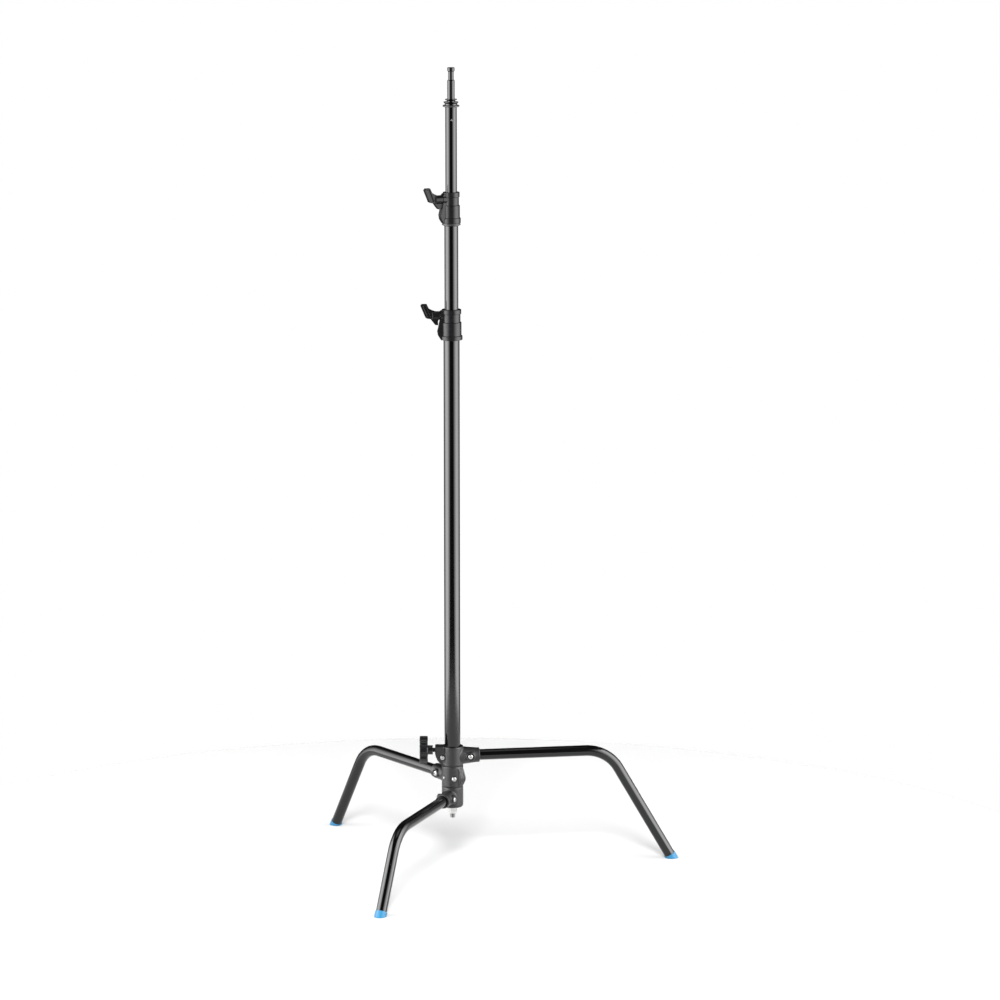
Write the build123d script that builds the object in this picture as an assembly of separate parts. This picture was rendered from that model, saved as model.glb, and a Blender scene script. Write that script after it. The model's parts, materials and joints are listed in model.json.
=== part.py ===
"""Studio light stand: a folding three-leg base, a lift-out column and two telescopic risers.

Millimetres, +Z up. Everything is laid out about the column's axis, with the top leg along +X and
the floor at Z = 0. The finished model is moved so that its origin is the bottom centre of its box.
"""

from build123d import *
from dataclasses import dataclass
from math import cos, radians, sin, tan
import os

# ---- clearances, radial ----
RUNNING = 0.06
SNUG = 0.02
FACE_GAP = 0.1

# ---- column and risers: outer radius, wall ----
COLUMN_R, RISER_1_R, RISER_2_R, TUBE_WALL = 17.5, 15.0, 12.5, 1.5
RISER_1_FOOT, RISER_2_FOOT = 382.0, 610.0
BUSH_LENGTH, BUSH_LIP = 40.0, 6.0
SHOULDER_TO_SCREW = 5.5

# ---- base: heights of the three hub castings and of the thrust washers between them ----
HUB_R, HUB_WALL = 24.0, 4.0
TOP_HUB = (235.5, 279.0)
MIDDLE_HUB = (187.4, 234.5)
BOTTOM_HUB = (140.0, 186.4)
HUB_FLOOR = 6.0
WASHER_R = 23.5
SLEEVE_R = HUB_R - HUB_WALL - RUNNING
SLEEVE_BORE_R = COLUMN_R + RUNNING
SLEEVE_TOP = 276.0
PLUG_TOP = 168.0
CAP_FLANGE, CAP_PLUG = 2.0, 20.0
MOUTH_R = 17.9

# ---- legs ----
LEG_R, LEG_WALL, LEG_BEND_R, LEG_DROP = 12.0, 2.0, 85.0, 60.0
LEG_ROOT, SOCKET_START, SOCKET_MOUTH = 26.0, 14.0, 60.0
BOLT_BOSS_R, BOLT_BOSS_FACE, BOLT_SEAT = 10.0, 20.5, 16.5
LEG_BOLT_R, LEG_BOLT_HEAD_R, COUNTERBORE_R = 4.0, 5.5, 7.4
FOOT_WALL, FOOT_SOLE, FOOT_SLEEVE = 1.1, 1.6, 10.3

# ---- stop screws and the slots that they run in ----
STOP_TIP_R, STOP_TIP_END = 3.0, 18.6
STOP_SLOT_FLOOR, STOP_SLOT_SPARE = 18.35, 10.3
STOP_SEAT, STOP_COUNTERBORE_R = 22.0, 6.6
FOLD = 120.0

# ---- detent boss and pressed pin of the middle hub ----
BOSS_AZIMUTH, BOSS_WIDTH, BOSS_GROOVE, BOSS_GROOVE_AT = 318.0, 18.0, 1.8, 3.2
BOSS_PROFILE = [(15.0, 188.5), (22.5, 188.5), (26.5, 195.0), (30.0, 203.0), (30.0, 209.5), (26.0, 221.0),
                (22.5, 232.5), (15.0, 232.5)]
BOSS_GROOVE_PROFILE = [(22.5, 192.0), (25.0, 197.0), (28.2, 204.0), (28.2, 209.0), (24.5, 220.0),
                       (22.5, 229.0), (40.0, 229.0), (40.0, 192.0)]
DETENT_PIN_R, DETENT_PIN_AZIMUTH, DETENT_PIN_HEIGHT, DETENT_PIN_ENDS = 2.4, 209.0, 209.0, (20.4, 24.4)

# ---- base locking knob ----
KNOB_AZIMUTH, KNOB_HEIGHT, KNOB_SCREW_R = 172.0, 269.0, 5.0
KNOB_HUB_START, KNOB_HUB_LENGTH, KNOB_THICKNESS, KNOB_HUB_R = 43.8, 11.0, 18.0, 10.3
KNOB_DISH_R, KNOB_DISH, KNOB_SCREW_END = 14.0, 2.0, 6.0
KNOB_R, KNOB_LOBES, KNOB_SCALLOP_R, KNOB_SCALLOP_AT = 31.0, 7, 8.0, 34.5
EAR_WIDTH = 26.0
EAR_PROFILE = [(10.0, 235.5), (23.5, 235.5), (28.9, 241.8), (33.4, 248.0), (36.6, 255.0), (38.6, 262.5),
               (38.6, 279.0), (10.0, 279.0)]
PAD_THICKNESS, PAD_GAP = 4.0, 0.15
LOCK_BOLT_AT, LOCK_BOLT_HEIGHT, LOCK_BOLT_SEAT, LOCK_BOLT_R = 21.9, 254.0, 11.0, 3.0

# ---- locking levers of the collars ----
LEVER_HUB_R, LEVER_HUB_LENGTH, LEVER_THICKNESS = 9.5, 17.0, 9.0
LEVER_START, LEVER_BORE, LEVER_POCKET_DEPTH = 3.7, 13.0, 1.3
LEVER_WING = [(7.5, 9.0), (11.7, 9.8), (19.0, 12.7), (24.2, 15.7), (27.9, 23.0), (28.9, 25.7), (39.6, 25.7),
              (42.5, 21.9), (31.5, -4.3), (27.8, -6.0), (20.5, -7.2), (16.8, -12.4), (11.7, -19.1),
              (9.0, -20.8), (4.0, -20.8), (4.4, -13.0), (3.0, -8.0)]
LEVER_POCKET = [(20.6, -4.0), (31.0, 22.6), (38.2, 22.6), (28.0, -1.6), (26.0, -3.6)]
CLAMP_SCREW_R = 4.0

# ---- tie bolt under the base ----
TIE_R, TIE_END, TIE_NUT = 6.0, 114.5, (124.5, 136.4)
TIE_HEAD, TIE_HEAD_R = 7.0, 11.0

# ---- guide bushes of the collars, and the pin of the top stud ----
GUIDE_WALL, GUIDE_DEPTH, GUIDE_INSET = 2.0, 7.6, 0.5
STUD_PIN_HEIGHT, STUD_PIN_R = 1672.0, 2.5


@dataclass
class Leg:
    """One leg: azimuth, height of the level run, reach of its corner, and where its bolt sits."""

    name: str
    azimuth: float
    height: float
    corner: float
    bolt_at: float
    head_side: int

    @property
    def foot(self):
        """Distance from the column's axis to where the tube's axis meets the floor."""
        return self.corner + self.height / tan(radians(LEG_DROP))


@dataclass
class Collar:
    """One locking collar: fixed to the tube below it, it clamps the riser that runs through it."""

    name: str
    bottom: float
    steps: tuple
    radii: tuple
    tube_r: float
    riser_r: float
    screw: float
    azimuth: float

    @property
    def top(self):
        return self.bottom + sum(self.steps)

    @property
    def shoulder(self):
        """Height where the tube below ends, just under the clamp screw."""
        return self.screw - SHOULDER_TO_SCREW


TOP_LEG = Leg("top_leg", 0.0, 256.0, 350.0, 38.0, -1)
MIDDLE_LEG = Leg("middle_leg", 120.0, 210.0, 322.0, 38.0, 1)
BOTTOM_LEG = Leg("bottom_leg", 240.0, 165.0, 315.0, 34.5, 1)
MIDDLE_STOP, BOTTOM_STOP = (271.0, 207.4), (89.0, 172.0)

COLLAR_1 = Collar("collar_1", 1192.0, (8.8, 29.6, 18.5, 9.6), (24.0, 21.8, 19.6, 21.3),
                  COLUMN_R, RISER_1_R, 1245.5, 180.0)
COLLAR_2 = Collar("collar_2", 1448.0, (11.0, 27.5, 18.0, 10.5), (20.6, 18.7, 16.7, 18.2),
                  RISER_1_R, RISER_2_R, 1500.0, 197.0)
BUMPER = (1442.0, 1447.6)
TOP_BUMPER = (1700.0, 1703.6)


# ---------------------------------------------------------------- helpers
def bar(radius, low, high):
    """Cylinder along the local Z axis."""
    return Pos(0, 0, low) * Cylinder(radius, high - low, align=(Align.CENTER, Align.CENTER, Align.MIN))


def ring(outer, inner, low, high):
    """Tube along the local Z axis."""
    return bar(outer, low, high) - bar(inner, low - 1, high + 1)


def turned(points):
    """Solid of revolution about the column's axis, from (radius, height) points."""
    return revolve(make_face(Plane.XZ * Polyline(*points, close=True)), Axis.Z)


def outward(azimuth, height):
    """Frame whose Z points away from the column's axis and whose X points up."""
    direction = (cos(radians(azimuth)), sin(radians(azimuth)), 0)
    return Plane(origin=(0, 0, height), x_dir=(0, 0, 1), z_dir=direction)


def side_on(azimuth, height):
    """Frame whose X points away from the column's axis and whose Y points up."""
    a = radians(azimuth)
    return Plane(origin=(0, 0, height), x_dir=(cos(a), sin(a), 0), z_dir=(sin(a), -cos(a), 0))


def across(azimuth, height, distance, side):
    """Frame at a distance along an azimuth, whose Z points sideways, to +90 or -90 degrees."""
    a, b = radians(azimuth), radians(azimuth + 90 * side)
    origin = (distance * cos(a), distance * sin(a), height)
    return Plane(origin=origin, x_dir=(0, 0, 1), z_dir=(cos(b), sin(b), 0))


def plate(plane, points, thickness):
    """Flat plate of a closed outline, centred on its plane."""
    return extrude(plane * make_face(Polyline(*points, close=True)), thickness / 2, both=True)


def button_bolt(shank_r, shank, head_r, head, socket):
    """Button-head bolt: head on local Z = 0 upwards, shank below, hexagon socket in the head."""
    dome = bar(head_r, 0, head)
    dome = fillet(dome.edges().group_by(Axis.Z)[-1], head * 0.45)
    hexagon = extrude(Pos(0, 0, head * 0.35) * RegularPolygon(socket, 6), head)
    return dome + bar(shank_r, -shank, 0) - hexagon


def hex_nut(across_flats, bore_r, low, high):
    """Hexagon nut with chamfered corners, along local Z."""
    flats = extrude(Pos(0, 0, low) * RegularPolygon(across_flats / 2, 6, major_radius=False), high - low)
    corner_r = across_flats / 2 / cos(radians(30))
    barrel = chamfer(bar(corner_r, low, high).edges().filter_by(GeomType.CIRCLE), 1.0)
    return (flats & barrel) - bar(bore_r, low - 1, high + 1)


# ---------------------------------------------------------------- legs
def leg_path(leg):
    """Axis of a leg tube: level out of its hub, one bend, then down past the floor."""
    beyond = LEG_R / cos(radians(LEG_DROP))
    end = leg.foot + beyond
    drop = leg.height + beyond * tan(radians(LEG_DROP))
    points = [(LEG_ROOT, 0), (leg.corner, 0), (end, -drop)]
    return side_on(leg.azimuth, leg.height) * FilletPolyline(*points, radius=LEG_BEND_R)


def leg_tube(leg):
    """Bent tube, cut level just above the floor, with a cross hole for its bolt."""
    path = leg_path(leg)
    start = Plane(origin=path @ 0, z_dir=path % 0)
    tube = sweep(start * Circle(LEG_R), path) - sweep(start * Circle(LEG_R - LEG_WALL), path)
    below = Pos(0, 0, FOOT_SOLE - 50) * Box(1400, 1400, 100)
    hole = across(leg.azimuth, leg.height, leg.bolt_at, 1) * Cylinder(LEG_BOLT_R + 0.2, 3 * LEG_R)
    return tube - below - hole


def leg_foot(leg):
    """Rubber cap over the slanted end of a leg tube, flat on the floor."""
    drop = radians(LEG_DROP)
    on_floor = side_on(leg.azimuth, 0).from_local_coords(Vector(leg.foot, 0, 0))
    upwards = side_on(leg.azimuth, 0).from_local_coords(Vector(-cos(drop), sin(drop), 0))
    tube_end = Plane(origin=on_floor, z_dir=upwards)
    outer_r = LEG_R + SNUG + FOOT_WALL
    shell = tube_end * bar(outer_r, -2 * LEG_R, FOOT_SLEEVE)
    shell = chamfer(shell.edges().filter_by(GeomType.CIRCLE).sort_by_distance(Vector(0, 0, 400))[0], 0.4)
    inside = tube_end * bar(LEG_R + SNUG, -2 * LEG_R, FOOT_SLEEVE + 1)
    sole = Pos(0, 0, -50) * Box(1400, 1400, 100)
    above_sole = Pos(0, 0, 50 + FOOT_SOLE) * Box(1400, 1400, 100)
    return shell - sole - (inside & above_sole)


def leg_socket(leg, root_r, mouth_r):
    """Tapered socket with a rounded mouth and two flat bosses for the leg bolt."""
    axis = outward(leg.azimuth, leg.height)
    cone = axis * Pos(0, 0, SOCKET_START) * Cone(root_r, mouth_r, SOCKET_MOUTH - SOCKET_START,
                                                 align=(Align.CENTER, Align.CENTER, Align.MIN))
    mouth = axis * bar(mouth_r + 0.6, SOCKET_MOUTH - 5, SOCKET_MOUTH)
    bosses = [across(leg.azimuth, leg.height, leg.bolt_at, side) * bar(BOLT_BOSS_R, 0, BOLT_BOSS_FACE)
              for side in (1, -1)]
    return cone + mouth + bosses


def leg_socket_holes(leg):
    """What is cut from a hub for its leg: the tube's bore, the bolt hole and two counterbores."""
    bore = outward(leg.azimuth, leg.height) * bar(LEG_R + SNUG, LEG_ROOT - 0.3, SOCKET_MOUTH + 1)
    holes = [across(leg.azimuth, leg.height, leg.bolt_at, side)
             * (bar(LEG_BOLT_R + 0.1, 0, 40) + bar(COUNTERBORE_R, BOLT_SEAT, 40)) for side in (1, -1)]
    return [bore, *holes]


def leg_bolt(leg):
    """Button-head bolt through the socket and the tube."""
    head = button_bolt(LEG_BOLT_R, 2 * BOLT_SEAT + 7, LEG_BOLT_HEAD_R, 4.2, 2.6)
    return across(leg.azimuth, leg.height, leg.bolt_at, leg.head_side) * Pos(0, 0, BOLT_SEAT) * head


def leg_nut(leg):
    """Hexagon nut on the far end of the leg bolt."""
    return (across(leg.azimuth, leg.height, leg.bolt_at, -leg.head_side)
            * hex_nut(11.6, LEG_BOLT_R + SNUG, BOLT_SEAT, BOLT_SEAT + 5.5))


# ---------------------------------------------------------------- hub castings
def hub_barrel(low, high):
    """Outer barrel of a hub casting with softened rims."""
    return fillet(bar(HUB_R, low, high).edges().filter_by(GeomType.CIRCLE), 1.2)


def knob_bore(radius, near, far):
    """Radial bar at the locking knob's axis."""
    return outward(KNOB_AZIMUTH, KNOB_HEIGHT) * bar(radius, near, far)


def base_top_casting():
    """Top hub with the socket of the top leg and the wedge ear of the locking knob."""
    low, high = TOP_HUB
    ear = plate(side_on(KNOB_AZIMUTH, 0), EAR_PROFILE, EAR_WIDTH)
    body = hub_barrel(low, high) + ear + leg_socket(TOP_LEG, 20.4, 15.8)
    body = body - bar(SLEEVE_R + SNUG, low - 1, SLEEVE_TOP) - bar(MOUTH_R, low, high + 1)
    body = body - knob_bore(KNOB_SCREW_R + RUNNING, 10, 60)
    body = body - lock_bolt_frame() * (bar(LOCK_BOLT_R + 0.1, -8, 20) + bar(6.5, LOCK_BOLT_SEAT, 20))
    return body - leg_socket_holes(TOP_LEG)


def lock_bolt_frame():
    """Frame on the axis of the ear's cross bolt."""
    return across(KNOB_AZIMUTH, LOCK_BOLT_HEIGHT, LOCK_BOLT_AT, 1)


def sleeve_lock_bolt():
    """Cross bolt in the ear, whose shank keys the sleeve to the top casting."""
    return lock_bolt_frame() * Pos(0, 0, LOCK_BOLT_SEAT) * button_bolt(LOCK_BOLT_R, 18, 5.1, 3.6, 2.2)


def middle_leg_casting():
    """Middle hub with its leg socket, ribbed detent boss and stop-screw counterbore."""
    low, high = MIDDLE_HUB
    body = hub_barrel(low, high) + detent_boss() + leg_socket(MIDDLE_LEG, 18.4, 15.9)
    body = body - bar(SLEEVE_R + RUNNING, low - 1, high + 1) - leg_socket_holes(MIDDLE_LEG)
    body = body - stop_screw_holes(*MIDDLE_STOP)
    return body - outward(DETENT_PIN_AZIMUTH, DETENT_PIN_HEIGHT) * bar(DETENT_PIN_R + SNUG, 10, 40)


def detent_boss():
    """Upright boss with a bulging profile and two grooves, on the side away from the leg."""
    plane = side_on(BOSS_AZIMUTH, 0)
    boss = plate(plane, BOSS_PROFILE, BOSS_WIDTH)
    groove = plate(plane, BOSS_GROOVE_PROFILE, BOSS_GROOVE)
    for offset in (-BOSS_GROOVE_AT, BOSS_GROOVE_AT):
        shift = plane.z_dir * offset
        boss = boss - Pos(*shift) * groove
    return boss


def stop_screw_holes(azimuth, height):
    """Threaded hole and counterbore of a stop screw."""
    thread, recess = bar(STOP_TIP_R + 0.05, 10, 40), bar(STOP_COUNTERBORE_R, STOP_SEAT, 40)
    return outward(azimuth, height) * (thread + recess)


def stop_screw(azimuth, height):
    """Screw through a hub wall, whose tip runs in a slot of the sleeve and limits the fold."""
    screw = Pos(0, 0, STOP_SEAT) * button_bolt(STOP_TIP_R, STOP_SEAT - STOP_TIP_END, 5.2, 3.4, 2.3)
    return outward(azimuth, height) * screw


def middle_detent_pin():
    """Pressed pin that seats the detent spring, flush with the casting."""
    return outward(DETENT_PIN_AZIMUTH, DETENT_PIN_HEIGHT) * bar(DETENT_PIN_R, *DETENT_PIN_ENDS)


def bottom_leg_casting():
    """Bottom hub with its leg socket, closed below except for the tie bolt."""
    low, high = BOTTOM_HUB
    barrel = bar(HUB_R, low, high)
    barrel = fillet(barrel.edges().group_by(Axis.Z)[0], 4.5)
    body = barrel + (leg_socket(BOTTOM_LEG, 17.0, 15.6) & bar(200, low - 1, high))
    body = body - bar(SLEEVE_R + RUNNING, low + HUB_FLOOR, high + 1) - bar(TIE_R + 0.15, low - 5, high)
    body = body - leg_socket_holes(BOTTOM_LEG)
    return body - stop_screw_holes(*BOTTOM_STOP)


# ---------------------------------------------------------------- base core
def slot_in_sleeve(azimuth, height, turn):
    """Part-ring cut into the sleeve's outside, long enough for a stop screw to turn through."""
    start = min(azimuth, azimuth + turn) - STOP_SLOT_SPARE
    step = (FOLD + 2 * STOP_SLOT_SPARE) / 4
    half = STOP_TIP_R + 0.3
    band = ring(SLEEVE_R + 1, STOP_SLOT_FLOOR, height - half, height + half)
    reach = 80.0
    outline = [(0, 0)] + [(reach * cos(radians(start + k * step)), reach * sin(radians(start + k * step)))
                          for k in range(5)]
    wedge = extrude(Pos(0, 0, height - half) * make_face(Polyline(*outline, close=True)), 2 * half)
    return band & wedge


def base_pivot_sleeve():
    """Steel sleeve that the column slots into and that the lower hubs turn on."""
    low = BOTTOM_HUB[0] + HUB_FLOOR + 0.5
    sleeve = ring(SLEEVE_R, SLEEVE_BORE_R, low, SLEEVE_TOP)
    sleeve = sleeve - knob_bore(KNOB_SCREW_R + RUNNING, 10, 30)
    sleeve = sleeve - lock_bolt_frame() * bar(LOCK_BOLT_R + 0.1, -20, 20)
    sleeve = sleeve - slot_in_sleeve(*MIDDLE_STOP, -FOLD)
    return sleeve - slot_in_sleeve(*BOTTOM_STOP, FOLD)


def base_end_plug():
    """Plug that closes the sleeve and holds the head of the tie bolt."""
    low = BOTTOM_HUB[0] + HUB_FLOOR + 0.5
    plug = bar(SLEEVE_BORE_R - SNUG, low, PLUG_TOP)
    head = extrude(Pos(0, 0, PLUG_TOP - TIE_HEAD) * RegularPolygon(TIE_HEAD_R, 6), TIE_HEAD + 1)
    return plug - head - bar(TIE_R + SNUG, low - 1, PLUG_TOP + 1)


def base_tie_bolt():
    """Bolt from the plug down through the bottom hub."""
    head = extrude(Pos(0, 0, PLUG_TOP - TIE_HEAD) * RegularPolygon(TIE_HEAD_R - 0.05, 6), TIE_HEAD - 0.2)
    shank = chamfer(bar(TIE_R, TIE_END, PLUG_TOP - 1).edges().group_by(Axis.Z)[0], 1.2)
    return head + shank


def base_tie_nut():
    """Lock nut under the base, with a nylon-collar neck at its lower end."""
    low, high = TIE_NUT
    body = hex_nut(18.0, TIE_R + SNUG, low + 3.5, high)
    collar = ring(8.2, TIE_R + SNUG, low, low + 3.5)
    return body + collar


def base_spring_washer():
    """Conical spring washer that keeps the stack of hubs tight."""
    low, high = TIE_NUT[1] + 0.05, BOTTOM_HUB[0] - FACE_GAP
    inner, outer, thick = TIE_R + 0.2, 10.5, 1.6
    return turned([(inner, high - thick), (outer, low), (outer, low + thick), (inner, high)])


def base_thrust_washers():
    """Two nylon washers between the hubs."""
    gap = FACE_GAP
    return Compound([ring(WASHER_R, SLEEVE_R + SNUG, MIDDLE_HUB[1] + gap, TOP_HUB[0] - gap),
                     ring(WASHER_R, SLEEVE_R + SNUG, BOTTOM_HUB[1] + gap, MIDDLE_HUB[0] - gap)])


# ---------------------------------------------------------------- base locking knob
def base_knob():
    """Lobed hand knob with a round hub towards the base."""
    start, near = KNOB_HUB_START, KNOB_HUB_START + KNOB_HUB_LENGTH
    far = near + KNOB_THICKNESS
    scallop = bar(KNOB_SCALLOP_R, near - 1, far + 1)
    disc = bar(KNOB_R, near, far) - PolarLocations(KNOB_SCALLOP_AT, KNOB_LOBES) * scallop
    disc = fillet(disc.edges().filter_by(Axis.Z), 2.0)
    disc = fillet(disc.edges().group_by(Axis.Z)[0] + disc.edges().group_by(Axis.Z)[-1], 1.8)
    dish = bar(KNOB_DISH_R, far - KNOB_DISH, far + 1)
    hub = bar(KNOB_HUB_R, start, near + 3)
    body = disc + hub - dish - bar(KNOB_SCREW_R + SNUG, start - 1, far - KNOB_SCREW_END)
    return outward(KNOB_AZIMUTH, KNOB_HEIGHT) * body


def base_knob_screw():
    """Screw of the locking knob, from the clamp pad to inside the knob."""
    near = COLUMN_R + PAD_GAP + PAD_THICKNESS
    far = KNOB_HUB_START + KNOB_HUB_LENGTH + KNOB_THICKNESS - KNOB_SCREW_END
    return knob_bore(KNOB_SCREW_R, near + SNUG, far - 0.5)


def base_clamp_pad():
    """Pad at the end of the knob's screw, which presses on the column."""
    return knob_bore(KNOB_SCREW_R - 0.1, COLUMN_R + PAD_GAP, COLUMN_R + PAD_GAP + PAD_THICKNESS)


# ---------------------------------------------------------------- collars
def collar_body(collar):
    """Stepped collar casting with the upright lug that carries the clamp screw."""
    heights, low = [], collar.bottom
    for step in collar.steps:
        heights.append((low, low + step))
        low += step
    body = None
    for (start, end), radius in zip(heights, collar.radii):
        band = fillet(bar(radius, start, end).edges().filter_by(GeomType.CIRCLE), 0.7)
        core = bar(radius - 2, start - 0.01, end + 0.01) if body else bar(radius - 2, start, end)
        body = band + core if body is None else body + band + core
    body = body + collar_lug(collar)
    body = body & bar(60, collar.bottom, collar.top)
    body = body - bar(collar.tube_r + SNUG, collar.bottom - 1, collar.shoulder)
    body = body - bar(collar.riser_r + RUNNING, collar.bottom, collar.top + 1)
    body = body - bar(collar.riser_r + GUIDE_WALL, collar.top - GUIDE_DEPTH, collar.top + 1)
    return body - outward(collar.azimuth, collar.screw) * bar(CLAMP_SCREW_R + RUNNING, 5, 60)


def collar_lug(collar):
    """Upright lug beside the collar: screw boss above, rounded bulge below."""
    mid_r, foot = collar.radii[1], collar.bottom - collar.screw
    head = collar.top - collar.screw
    outline = [(10, foot), (collar.radii[0] - 0.5, foot), (mid_r + 7.2, foot + 9), (mid_r + 8.8, foot + 18),
               (mid_r + 6.4, foot + 27.5), (mid_r + 3.2, -9.5), (mid_r + 3.2, 9.0),
               (collar.radii[3] - 0.3, head - 2), (10, head - 2)]
    lug = plate(side_on(collar.azimuth, collar.screw), outline, 15.0)
    boss = outward(collar.azimuth, collar.screw) * bar(10.3, 10, mid_r + 3.2)
    return lug + boss


def collar_guide_bush(collar):
    """Nylon ring in the collar's mouth that guides the riser."""
    low, high = collar.top - GUIDE_DEPTH + FACE_GAP, collar.top - GUIDE_INSET
    return ring(collar.riser_r + GUIDE_WALL - SNUG, collar.riser_r + RUNNING, low, high)


def lever_shape():
    """Winged locking lever about its own screw axis: hub along local X, wing upwards."""
    blade = plate(Plane.XZ, LEVER_WING, LEVER_THICKNESS)
    for side in (1, -1):
        sunk = Plane.XZ.offset(side * (LEVER_THICKNESS / 2 - LEVER_POCKET_DEPTH))
        blade = blade - extrude(sunk * make_face(Polyline(*LEVER_POCKET, close=True)), side * 5)
    hub = Rot(0, 90, 0) * bar(LEVER_HUB_R, 0, LEVER_HUB_LENGTH)
    return blade + fillet(hub.edges().filter_by(GeomType.CIRCLE), 1.0)


def lever_frame(collar):
    """Places the lever's local X outwards and its Z upwards at the collar's screw."""
    turn = Location((0, 0, collar.screw), (0, 0, collar.azimuth))
    return turn * Location((collar.radii[1] + LEVER_START, 0, 0))


def collar_lever(collar):
    """Locking lever, bored for its screw."""
    bore = Rot(0, 90, 0) * bar(CLAMP_SCREW_R + SNUG, -1, LEVER_BORE)
    return lever_frame(collar) * (lever_shape() - bore)


def collar_clamp_screw(collar):
    """Screw from the clamp pad into the lever's hub."""
    near = collar.riser_r + PAD_GAP + PAD_THICKNESS + SNUG
    far = collar.radii[1] + LEVER_START + LEVER_BORE - FACE_GAP
    return outward(collar.azimuth, collar.screw) * bar(CLAMP_SCREW_R, near, far)


def collar_clamp_pad(collar):
    """Brass pad that the screw presses on the riser."""
    near = collar.riser_r + PAD_GAP
    return outward(collar.azimuth, collar.screw) * bar(CLAMP_SCREW_R - 0.05, near, near + PAD_THICKNESS)


# ---------------------------------------------------------------- column and risers
def column_tube():
    """Outer column from its end cap to the shoulder of the lower collar."""
    return ring(COLUMN_R, COLUMN_R - TUBE_WALL, PLUG_TOP + FACE_GAP + CAP_FLANGE + 0.02, COLLAR_1.shoulder)


def column_end_cap():
    """Plastic cap in the column's lower end, which rests on the plug in the sleeve."""
    low = PLUG_TOP + FACE_GAP
    flange = bar(COLUMN_R - 0.1, low, low + CAP_FLANGE)
    return flange + ring(COLUMN_R - TUBE_WALL - RUNNING, 12.0, low + CAP_FLANGE, low + CAP_PLUG)


def riser_bush(riser_r, foot, bore_r):
    """Nylon slide bush on a riser's lower end, with a lip that the tube stands in."""
    seat, low, high = foot - 0.05, foot - BUSH_LIP, foot + BUSH_LENGTH
    sleeve = bar(bore_r - RUNNING, low, high)
    return sleeve - bar(riser_r + RUNNING, seat, high + 1) - bar(riser_r - 5, low - 1, seat + 1)


def riser_1_bumper():
    """Flared ring under the upper collar, which meets the lower collar when closed."""
    low, high = BUMPER
    r = RISER_1_R + SNUG
    return turned([(r, low), (17.0, low), (20.3, low + 2.0), (20.3, low + 3.4), (19.2, high), (r, high)])


def top_bumper():
    """Rounded ring on the end of the top riser."""
    low, high = TOP_BUMPER
    return fillet(ring(18.1, 10.7, low, high).edges().filter_by(GeomType.CIRCLE).group_by(SortBy.RADIUS)[-1],
                  1.4)


def top_stud():
    """Stud fitting: spigot in the riser, two flared rims, and the grooved 16 mm stud."""
    inside, foot = RISER_2_R - TUBE_WALL - SNUG, TOP_BUMPER[1] + 0.05
    spigot = [(0, 1650), (inside - 1, 1650), (inside, 1652), (inside, 1699.9), (10.5, 1699.95), (10.5, foot)]
    rims = [(13.4, foot), (13.4, 1706.9), (16.1, 1709.5), (16.1, 1710.6), (8.6, 1711.4), (8.6, 1712.6),
            (12.9, 1715.4), (12.9, 1716.4)]
    shank = [(8.0, 1717.2), (8.0, 1756.0), (7.4, 1757.4), (6.0, 1758.2)]
    head = [(6.0, 1775.6), (7.9, 1777.4), (7.9, 1783.8), (7.3, 1784.4), (0, 1784.4)]
    return turned(spigot + rims + shank + head)


def top_stud_pin():
    """Spring pin across the riser and the spigot of the stud."""
    reach = RISER_2_R - 0.2
    return across(0, STUD_PIN_HEIGHT, 0, 1) * bar(STUD_PIN_R, -reach, reach)


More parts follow.
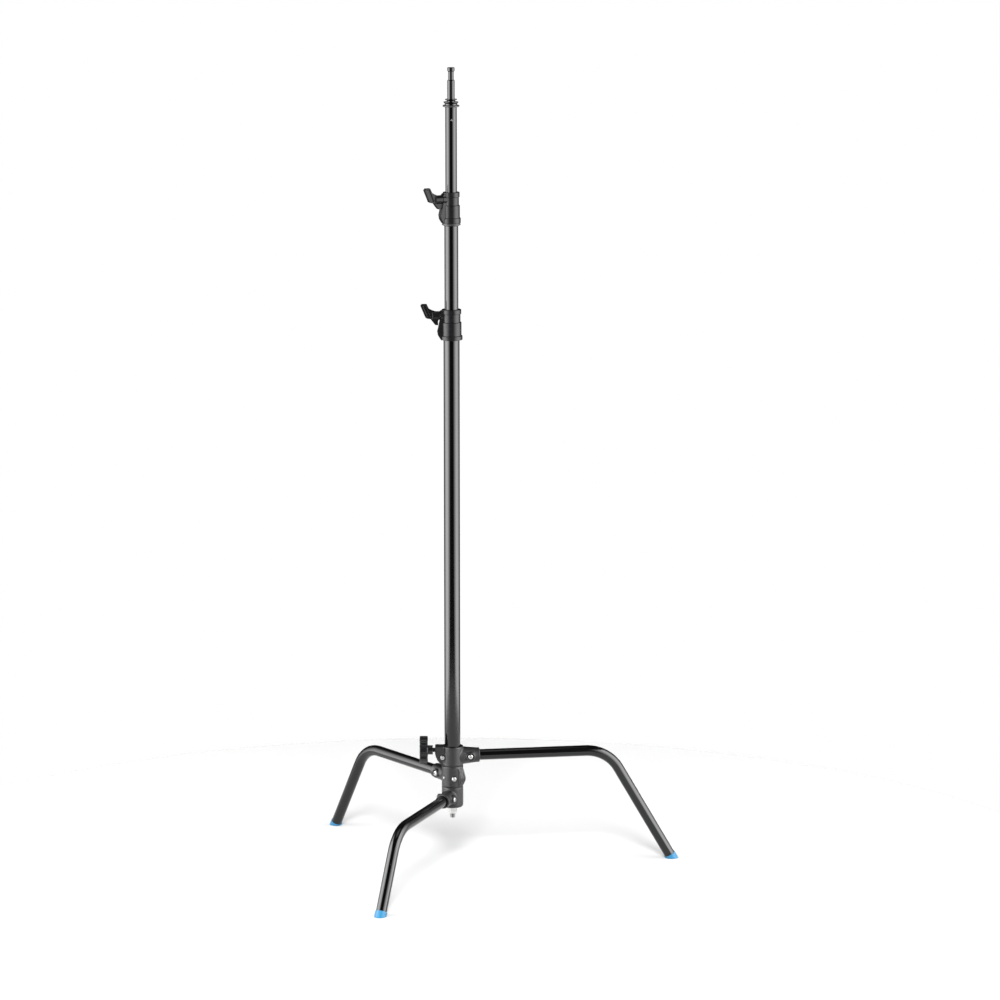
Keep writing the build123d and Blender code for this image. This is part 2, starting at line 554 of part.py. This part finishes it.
def main():
    """Builds every node about the column's axis and writes one file for each."""
    stud_hole = across(0, STUD_PIN_HEIGHT, 0, 1) * bar(STUD_PIN_R + SNUG, -20, 20)
    nodes = {
        "base_top_casting": base_top_casting(),
        "base_pivot_sleeve": base_pivot_sleeve(),
        "base_end_plug": base_end_plug(),
        "base_tie_bolt": base_tie_bolt(),
        "base_tie_nut": base_tie_nut(),
        "base_spring_washer": base_spring_washer(),
        "base_thrust_washers": base_thrust_washers(),
        "sleeve_lock_bolt": sleeve_lock_bolt(),
        "middle_leg_casting": middle_leg_casting(),
        "middle_stop_screw": stop_screw(*MIDDLE_STOP),
        "middle_detent_pin": middle_detent_pin(),
        "bottom_leg_casting": bottom_leg_casting(),
        "bottom_stop_screw": stop_screw(*BOTTOM_STOP),
        "base_knob": base_knob(),
        "base_knob_screw": base_knob_screw(),
        "base_clamp_pad": base_clamp_pad(),
        "column_tube": column_tube(),
        "column_end_cap": column_end_cap(),
        "riser_1_tube": ring(RISER_1_R, RISER_1_R - TUBE_WALL, RISER_1_FOOT, COLLAR_2.shoulder),
        "riser_1_bush": riser_bush(RISER_1_R, RISER_1_FOOT, COLUMN_R - TUBE_WALL),
        "riser_1_bumper": riser_1_bumper(),
        "riser_2_tube": ring(RISER_2_R, RISER_2_R - TUBE_WALL, RISER_2_FOOT, TOP_BUMPER[0]) - stud_hole,
        "riser_2_bush": riser_bush(RISER_2_R, RISER_2_FOOT, RISER_1_R - TUBE_WALL),
        "riser_2_bumper": top_bumper(),
        "top_stud": top_stud() - stud_hole,
        "top_stud_pin": top_stud_pin(),
    }
    for leg in (TOP_LEG, MIDDLE_LEG, BOTTOM_LEG):
        nodes[leg.name + "_tube"] = leg_tube(leg)
        nodes[leg.name + "_foot"] = leg_foot(leg)
        nodes[leg.name + "_bolt"] = leg_bolt(leg)
        nodes[leg.name + "_nut"] = leg_nut(leg)
    for collar in (COLLAR_1, COLLAR_2):
        nodes[collar.name + "_body"] = collar_body(collar)
        nodes[collar.name + "_guide_bush"] = collar_guide_bush(collar)
        nodes[collar.name + "_lever"] = collar_lever(collar)
        nodes[collar.name + "_clamp_screw"] = collar_clamp_screw(collar)
        nodes[collar.name + "_clamp_pad"] = collar_clamp_pad(collar)

    feet = Compound([nodes[leg.name + "_foot"] for leg in (TOP_LEG, MIDDLE_LEG, BOTTOM_LEG)])
    centre = feet.bounding_box().center()
    os.makedirs("parts", exist_ok=True)
    for name, shape in nodes.items():
        export_step(Pos(-centre.X, -centre.Y, 0) * shape, f"parts/{name}.step")


main()
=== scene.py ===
import bpy
import json
from math import cos, pi, radians, sin
from mathutils import Matrix, Vector

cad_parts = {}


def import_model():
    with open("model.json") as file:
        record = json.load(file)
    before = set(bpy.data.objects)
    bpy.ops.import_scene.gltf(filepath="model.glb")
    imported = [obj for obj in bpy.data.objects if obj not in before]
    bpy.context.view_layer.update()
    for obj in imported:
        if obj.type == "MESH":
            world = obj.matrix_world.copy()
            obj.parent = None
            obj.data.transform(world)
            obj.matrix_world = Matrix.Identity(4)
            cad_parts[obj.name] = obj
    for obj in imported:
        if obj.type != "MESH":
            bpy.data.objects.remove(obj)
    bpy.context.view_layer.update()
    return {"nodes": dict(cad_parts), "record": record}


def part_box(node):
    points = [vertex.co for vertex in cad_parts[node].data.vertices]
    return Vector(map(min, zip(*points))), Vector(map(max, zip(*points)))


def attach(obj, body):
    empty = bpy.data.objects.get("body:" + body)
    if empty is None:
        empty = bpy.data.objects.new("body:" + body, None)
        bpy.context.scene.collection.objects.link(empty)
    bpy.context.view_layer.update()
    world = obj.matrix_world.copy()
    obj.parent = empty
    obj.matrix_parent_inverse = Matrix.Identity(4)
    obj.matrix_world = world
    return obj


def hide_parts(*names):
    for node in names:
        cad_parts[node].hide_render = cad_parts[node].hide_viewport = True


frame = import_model()
nodes = frame["nodes"]
scene = bpy.context.scene


def middle(node):
    """Centre of a CAD node's box."""
    low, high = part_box(node)
    return (low + high) / 2


# ---------------------------------------------------------------- sizes in metres, angles in degrees
AXIS = middle("column_tube")
VIEW_TURN, VIEW_PITCH = -8.4, 11.23
CAMERA_PLACE, CAMERA_LENS, CAMERA_REACH = (0.1057, 8.984, 2.619), 150.1, 200.0

# rounding of castings and mouldings: voxel size and rounds of smoothing
SOFT_PARTS = {
    "base_top_casting": (0.0008, 9), "middle_leg_casting": (0.0008, 9), "bottom_leg_casting": (0.0008, 9),
    "collar_1_lever": (0.0005, 5), "collar_2_lever": (0.0005, 5), "base_knob": (0.0005, 3),
}
WELD_DISTANCE, EDGE_ANGLE = 1e-6, 28

THREAD_STEPS, ROWS_PER_TURN, THREAD_CHAMFER = 48, 8, 0.0009
TIE_BOLT_R, TIE_BOLT_PITCH, TIE_BOLT_GROOVE = 0.006, 0.00175, 0.0008
TIE_BOLT_THREAD, TIE_BOLT_RUNOUT = 0.032, 0.0001
TIE_BOLT_HEAD, TIE_BOLT_CORNER = 0.0068, 0.01095
KNOB_SCREW_R, KNOB_SCREW_PITCH, KNOB_SCREW_GROOVE = 0.005, 0.0015, 0.0007

# the floor is a disc with its centre FLOOR_NEAR nearer to the viewer than the axis
FLOOR_R, FLOOR_NEAR, FLOOR_DROP, FLOOR_SIDES = 1.5, 0.35, 0.0002, 96
FLOOR_TONE = (0.335, 0.335, 0.335)

# share of a side panel's radiance, across its width from behind the stand to the viewer's side
SIDE_GRADE = ((0.0, 0.0), (0.12, 0.05), (0.22, 0.32), (0.33, 0.88), (0.44, 1.0), (0.55, 0.6), (0.7, 0.26),
              (0.84, 0.08), (1.0, 0.0))
FILL_TONE = (0.03, 0.03, 0.03, 1)


def from_axis(right, near, up):
    """Point right of the column's foot, nearer to the viewer than it, and above it, as the viewer sees it."""
    a = radians(VIEW_TURN)
    return Vector((AXIS.x + right * cos(a) + near * sin(a), AXIS.y + right * sin(a) - near * cos(a), up))


# ---------------------------------------------------------------- materials
def set_ramp(ramp, stops):
    """Gives a colour ramp its stops, each a position and a colour."""
    elements = ramp.color_ramp.elements
    for element, (position, color) in zip(elements, stops):
        element.position = position
        element.color = (*color, 1)
    for position, color in stops[2:]:
        elements.new(position).color = (*color, 1)


class Shader:
    """A node material with a Principled shader and short calls for its inputs."""

    def __init__(self, name, color, roughness, metallic=0.0):
        self.material = bpy.data.materials.new(name)
        self.material.use_nodes = True
        self.tree = self.material.node_tree
        self.tree.nodes.clear()
        out = self.tree.nodes.new("ShaderNodeOutputMaterial")
        self.bsdf = self.tree.nodes.new("ShaderNodeBsdfPrincipled")
        self.join(self.bsdf.outputs["BSDF"], out.inputs["Surface"])
        self.set("Base Color", (*color, 1.0))
        self.set("Roughness", roughness)
        self.set("Metallic", metallic)
        self.set("IOR", 1.5)
        self.coord = self.tree.nodes.new("ShaderNodeTexCoord").outputs["Object"]

    def set(self, name, value):
        self.bsdf.inputs[name].default_value = value

    def join(self, a, b):
        self.tree.links.new(a, b)

    def noise(self, scale, detail=3.0, roughness=0.6):
        """Noise of a given count per metre, in the object's own space."""
        n = self.tree.nodes.new("ShaderNodeTexNoise")
        n.inputs["Scale"].default_value = scale
        n.inputs["Detail"].default_value = detail
        n.inputs["Roughness"].default_value = roughness
        self.join(self.coord, n.inputs["Vector"])
        return n.outputs["Fac"]

    def tone(self, fac, stops):
        """Drives the base colour by a colour ramp."""
        ramp = self.tree.nodes.new("ShaderNodeValToRGB")
        set_ramp(ramp, stops)
        self.join(fac, ramp.inputs["Fac"])
        self.join(ramp.outputs["Color"], self.bsdf.inputs["Base Color"])

    def gloss(self, fac, low, high):
        """Drives the roughness between two values."""
        m = self.tree.nodes.new("ShaderNodeMapRange")
        m.inputs["To Min"].default_value = low
        m.inputs["To Max"].default_value = high
        self.join(fac, m.inputs["Value"])
        self.join(m.outputs["Result"], self.bsdf.inputs["Roughness"])

    def bump(self, height, strength, distance):
        b = self.tree.nodes.new("ShaderNodeBump")
        b.inputs["Strength"].default_value = strength
        b.inputs["Distance"].default_value = distance
        self.join(height, b.inputs["Height"])
        self.join(b.outputs["Normal"], self.bsdf.inputs["Normal"])


def tube_black():
    """Gloss powder coat: slow changes of gloss along the tube, and a barely raised orange peel."""
    s = Shader("tube_black", (0.0006, 0.0006, 0.0007), 0.14)
    s.gloss(s.noise(14, 2.0), 0.11, 0.16)
    s.bump(s.noise(420, 2.0), 0.012, 0.0002)
    return s.material


def cast_black():
    """Satin coat over a sand-cast skin: grain and mottled gloss."""
    s = Shader("cast_black", (0.012, 0.012, 0.013), 0.36)
    s.tone(s.noise(520, 5.0, 0.65), [(0.32, (0.002, 0.002, 0.0022)), (0.7, (0.0095, 0.0095, 0.01))])
    s.gloss(s.noise(240, 3.0), 0.26, 0.42)
    s.bump(s.noise(640, 5.0, 0.7), 0.6, 0.0006)
    return s.material


def collar_black():
    """Die-cast collar: a smoother variant of cast_black, with a faint grain."""
    s = Shader("collar_black", (0.004, 0.004, 0.0044), 0.22)
    s.tone(s.noise(380, 4.0, 0.6), [(0.35, (0.003, 0.003, 0.0033)), (0.7, (0.0055, 0.0055, 0.006))])
    s.gloss(s.noise(160, 3.0), 0.17, 0.27)
    s.bump(s.noise(700, 4.0, 0.6), 0.16, 0.0003)
    s.set("Specular IOR Level", 0.24)
    return s.material


def plain(name, color, roughness, metallic=0.0, grain=900, depth=0.0002, spread=0.15, shine=0.5):
    """Moulded plastic, rubber or turned metal: tone and gloss vary a little, over a fine grain."""
    s = Shader(name, color, roughness, metallic)
    dark, light = [tuple(c * k for c in color) for k in (1 - spread, 1 + spread)]
    s.tone(s.noise(grain * 0.4, 4.0), [(0.3, dark), (0.7, light)])
    s.gloss(s.noise(grain * 0.3), roughness * 0.8, roughness * 1.2)
    s.bump(s.noise(grain), 0.2, depth)
    s.set("Specular IOR Level", shine)
    return s.material


MATERIALS = {
    "tube_black": tube_black(),
    "cast_black": cast_black(),
    "stud_black": plain("stud_black", (0.0006, 0.0006, 0.0007), 0.13, depth=0.00003),
    "lever_black": plain("lever_black", (0.002, 0.002, 0.0022), 0.26, shine=0.2),
    "knob_black": plain("knob_black", (0.003, 0.003, 0.0033), 0.24),
    "nylon_black": plain("nylon_black", (0.01, 0.01, 0.01), 0.45),
    "foot_blue": plain("foot_blue", (0.010, 0.098, 0.19), 0.55, grain=1400, depth=0.0004),
    "zinc": plain("zinc", (0.58, 0.58, 0.57), 0.3, 1.0),
    "steel": plain("steel", (0.42, 0.42, 0.43), 0.32, 1.0),
    "brass": plain("brass", (0.78, 0.6, 0.25), 0.3, 1.0),
}
COLLAR = collar_black()
# darker copy of zinc for the two threaded screws: painted shade that stands in for the shade in their thread
# grooves
ZINC_PAINTED_THREAD_SHADE = plain("zinc_painted_thread_shade", (0.2, 0.2, 0.2), 0.36, 1.0)
OWN_MATERIAL = {"collar_1_body": COLLAR, "collar_2_body": COLLAR}
for part in frame["record"]["subparts"]:
    mesh = nodes[part["node"]].data
    mesh.materials.clear()
    mesh.materials.append(OWN_MATERIAL.get(part["node"], MATERIALS[part["material_slot"]]))


# ---------------------------------------------------------------- edges and shading of the CAD parts
def soften(node, voxel, rounds):
    """Rounds the edges and fills the corners of a casting or moulding, as its mould does."""
    skin = nodes[node].modifiers.new("skin", "REMESH")
    skin.mode = "VOXEL"
    skin.voxel_size = voxel
    skin.use_smooth_shade = True
    blend = nodes[node].modifiers.new("blend", "SMOOTH")
    blend.factor = 0.5
    blend.iterations = rounds


def smooth_group():
    """Geometry nodes that shade a turned or drawn part smooth, up to its real edges."""
    group = bpy.data.node_groups.new("smooth_to_edges", "GeometryNodeTree")
    group.interface.new_socket("Mesh", in_out="INPUT", socket_type="NodeSocketGeometry")
    group.interface.new_socket("Mesh", in_out="OUTPUT", socket_type="NodeSocketGeometry")
    start, end = group.nodes.new("NodeGroupInput"), group.nodes.new("NodeGroupOutput")
    weld = group.nodes.new("GeometryNodeMergeByDistance")
    weld.inputs["Distance"].default_value = WELD_DISTANCE
    angle = group.nodes.new("GeometryNodeInputMeshEdgeAngle")
    sharp = group.nodes.new("FunctionNodeCompare")
    sharp.operation = "GREATER_THAN"
    sharp.inputs["B"].default_value = radians(EDGE_ANGLE)
    normal = group.nodes.new("GeometryNodeSetMeshNormal")
    normal.mode = "SHARPNESS"
    normal.inputs["Remove Custom"].default_value = True
    group.links.new(start.outputs["Mesh"], weld.inputs["Geometry"])
    group.links.new(angle.outputs["Unsigned Angle"], sharp.inputs["A"])
    group.links.new(weld.outputs["Geometry"], normal.inputs["Mesh"])
    group.links.new(sharp.outputs["Result"], normal.inputs["Edge Sharpness"])
    group.links.new(normal.outputs["Mesh"], end.inputs["Mesh"])
    return group


SMOOTH = smooth_group()
for name in sorted(nodes):
    if name in SOFT_PARTS:
        soften(name, *SOFT_PARTS[name])
    else:
        nodes[name].modifiers.new("smooth", "NODES").node_group = SMOOTH


# ---------------------------------------------------------------- threaded screws
def revolved(name, rows, body, replaced, place):
    """Closed mesh from rows of (height, radius at an angle), about the Z axis of a placing matrix."""
    steps = THREAD_STEPS
    verts, faces = [], []
    for height, radius_at in rows:
        for k in range(steps):
            angle = 2 * pi * k / steps
            r = radius_at(angle)
            verts.append(tuple(place @ Vector((r * cos(angle), r * sin(angle), height))))
    for i in range(len(rows) - 1):
        for k in range(steps):
            n = (k + 1) % steps
            faces.append((i * steps + k, i * steps + n, (i + 1) * steps + n, (i + 1) * steps + k))
    faces.append(tuple(reversed(range(steps))))
    faces.append(tuple((len(rows) - 1) * steps + k for k in range(steps)))
    mesh = bpy.data.meshes.new(name)
    mesh.from_pydata(verts, [], faces)
    for face in mesh.polygons:
        face.use_smooth = len(face.vertices) == 4
    # the screw takes the darkened zinc copy, with painted thread shade in place of the grooves' real shade
    mesh.materials.append(ZINC_PAINTED_THREAD_SHADE)
    piece = bpy.data.objects.new(name, mesh)
    scene.collection.objects.link(piece)
    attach(piece, body)
    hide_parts(*replaced)


def thread_rows(radius, pitch, groove, low, high):
    """Rows of a right-hand thread between two heights, with a chamfer at both ends."""
    rows, count = [], max(2, round((high - low) / pitch * ROWS_PER_TURN))
    for i in range(count + 1):
        height = low + (high - low) * i / count
        end = min(height - low, high - height)
        cap = radius - max(0.0, THREAD_CHAMFER - end)

        def radius_at(angle, height=height, cap=cap):
            phase = (height / pitch - angle / (2 * pi)) % 1.0
            return min(cap, radius - groove * (1 - abs(2 * phase - 1)))
        rows.append((height, radius_at))
    return rows


def round_row(height, radius):
    """Row of a plain circle."""
    return height, lambda angle: radius


def hexagon_row(height, corner):
    """Row of a hexagon, given the distance to its corners."""
    return height, lambda angle: corner * cos(pi / 6) / cos((angle + pi / 6) % (pi / 3) - pi / 6)


def tie_bolt():
    """Threaded tie bolt with its hexagon head."""
    low, high = [v.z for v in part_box("base_tie_bolt")]
    rows = thread_rows(TIE_BOLT_R, TIE_BOLT_PITCH, TIE_BOLT_GROOVE, low, low + TIE_BOLT_THREAD)
    rows.append(round_row(low + TIE_BOLT_THREAD + TIE_BOLT_RUNOUT, TIE_BOLT_R))
    rows.append(round_row(high - TIE_BOLT_HEAD, TIE_BOLT_R))
    rows.append(hexagon_row(high - TIE_BOLT_HEAD, TIE_BOLT_CORNER))
    rows.append(hexagon_row(high, TIE_BOLT_CORNER))
    place = Matrix.Translation((AXIS.x, AXIS.y, 0))
    revolved("tie_bolt", rows, "base", ["base_tie_bolt"], place)


def knob_screw():
    """Threaded screw between the clamp pad and the knob."""
    low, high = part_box("base_knob_screw")
    knob = middle("base_knob")
    outwards = Vector((knob.x - AXIS.x, knob.y - AXIS.y, 0)).normalized()
    half = ((high.x - low.x) / 2 - KNOB_SCREW_R * abs(outwards.y)) / abs(outwards.x)
    place = Matrix.Translation((low + high) / 2) @ outwards.to_track_quat("Z", "Y").to_matrix().to_4x4()
    rows = thread_rows(KNOB_SCREW_R, KNOB_SCREW_PITCH, KNOB_SCREW_GROOVE, -half, half)
    revolved("knob_screw", rows, "base_knob", ["base_knob_screw"], place)


tie_bolt()
knob_screw()


# ---------------------------------------------------------------- floor, light, camera
def floor():
    """Pale round floor under the stand."""
    mesh = bpy.data.meshes.new("floor")
    angles = [2 * pi * k / FLOOR_SIDES for k in range(FLOOR_SIDES)]
    ring = [from_axis(FLOOR_R * cos(a), FLOOR_NEAR + FLOOR_R * sin(a), -FLOOR_DROP) for a in angles]
    mesh.from_pydata([tuple(p) for p in ring], [], [tuple(range(FLOOR_SIDES))])
    plane = bpy.data.objects.new("floor", mesh)
    scene.collection.objects.link(plane)
    s = Shader("floor_white", FLOOR_TONE, 0.9)
    s.set("Specular IOR Level", 0.0)
    mesh.materials.append(s.material)


def world():
    """White behind the stand for the camera, and a dim fill for every other ray."""
    w = bpy.data.worlds.new("studio")
    w.use_nodes = True
    tree = w.node_tree
    tree.nodes.clear()
    out = tree.nodes.new("ShaderNodeOutputWorld")
    seen, fill = tree.nodes.new("ShaderNodeBackground"), tree.nodes.new("ShaderNodeBackground")
    mix = tree.nodes.new("ShaderNodeMixShader")
    seen.inputs["Color"].default_value = (1, 1, 1, 1)
    fill.inputs["Color"].default_value = FILL_TONE
    rays = tree.nodes.new("ShaderNodeLightPath")
    tree.links.new(rays.outputs["Is Camera Ray"], mix.inputs["Fac"])
    tree.links.new(fill.outputs["Background"], mix.inputs[1])
    tree.links.new(seen.outputs["Background"], mix.inputs[2])
    tree.links.new(mix.outputs["Shader"], out.inputs["Surface"])
    scene.world = w


def panel(name, place, target, size, radiance, glossy=True):
    """Soft rectangular light; place and target are given as from_axis takes them."""
    data = bpy.data.lights.new(name, "AREA")
    data.shape = "RECTANGLE"
    data.size, data.size_y = size
    data.energy = radiance * pi * data.size * data.size_y
    light = bpy.data.objects.new(name, data)
    light.location = from_axis(*place)
    light.rotation_euler = (from_axis(*target) - light.location).to_track_quat("-Z", "Y").to_euler()
    light.visible_glossy = glossy
    scene.collection.objects.link(light)
    return data


def grade(data, stops):
    """Fades a panel along its width: stops are (place across it, share of its radiance)."""
    data.use_nodes = True
    tree = data.node_tree
    across = tree.nodes.new("ShaderNodeSeparateXYZ")
    ramp = tree.nodes.new("ShaderNodeValToRGB")
    ramp.color_ramp.interpolation = "B_SPLINE"
    set_ramp(ramp, [(place, (share, share, share)) for place, share in stops])
    tree.links.new(tree.nodes.new("ShaderNodeNewGeometry").outputs["Parametric"], across.inputs["Vector"])
    tree.links.new(across.outputs["X"], ramp.inputs["Fac"])
    tree.links.new(ramp.outputs["Color"], tree.nodes["Emission"].inputs["Color"])


floor()
world()
left = panel("left_panel", place=(-2.8, 1.8, 1.5), target=(0, 1.8, 1.5), size=(10.0, 4.2), radiance=10.0)
grade(left, SIDE_GRADE)
right = panel("right_panel", place=(2.8, 1.8, 1.5), target=(0, 1.8, 1.5), size=(10.0, 4.2), radiance=9.2)
grade(right, [(1 - place, share) for place, share in reversed(SIDE_GRADE)])
panel("key_light", place=(0, 6.4, 5.6), target=(0, 0, 0), size=(2.3, 2.3), radiance=92, glossy=False)
panel("back_fill", place=(0, -2.2, 2.4), target=(0, -0.9, 0), size=(3.0, 1.5), radiance=3.2, glossy=False)
panel("ceiling", place=(0, 0, 4.2), target=(0, 0, 0), size=(1.8, 1.8), radiance=1.2)

camera_data = bpy.data.cameras.new("camera")
camera_data.lens = CAMERA_LENS
camera_data.clip_end = CAMERA_REACH
camera = bpy.data.objects.new("camera", camera_data)
camera.location = from_axis(*CAMERA_PLACE)
camera.rotation_euler = (radians(90 - VIEW_PITCH), 0, radians(VIEW_TURN))
scene.collection.objects.link(camera)
scene.camera = camera
scene.view_settings.view_transform = "Standard"
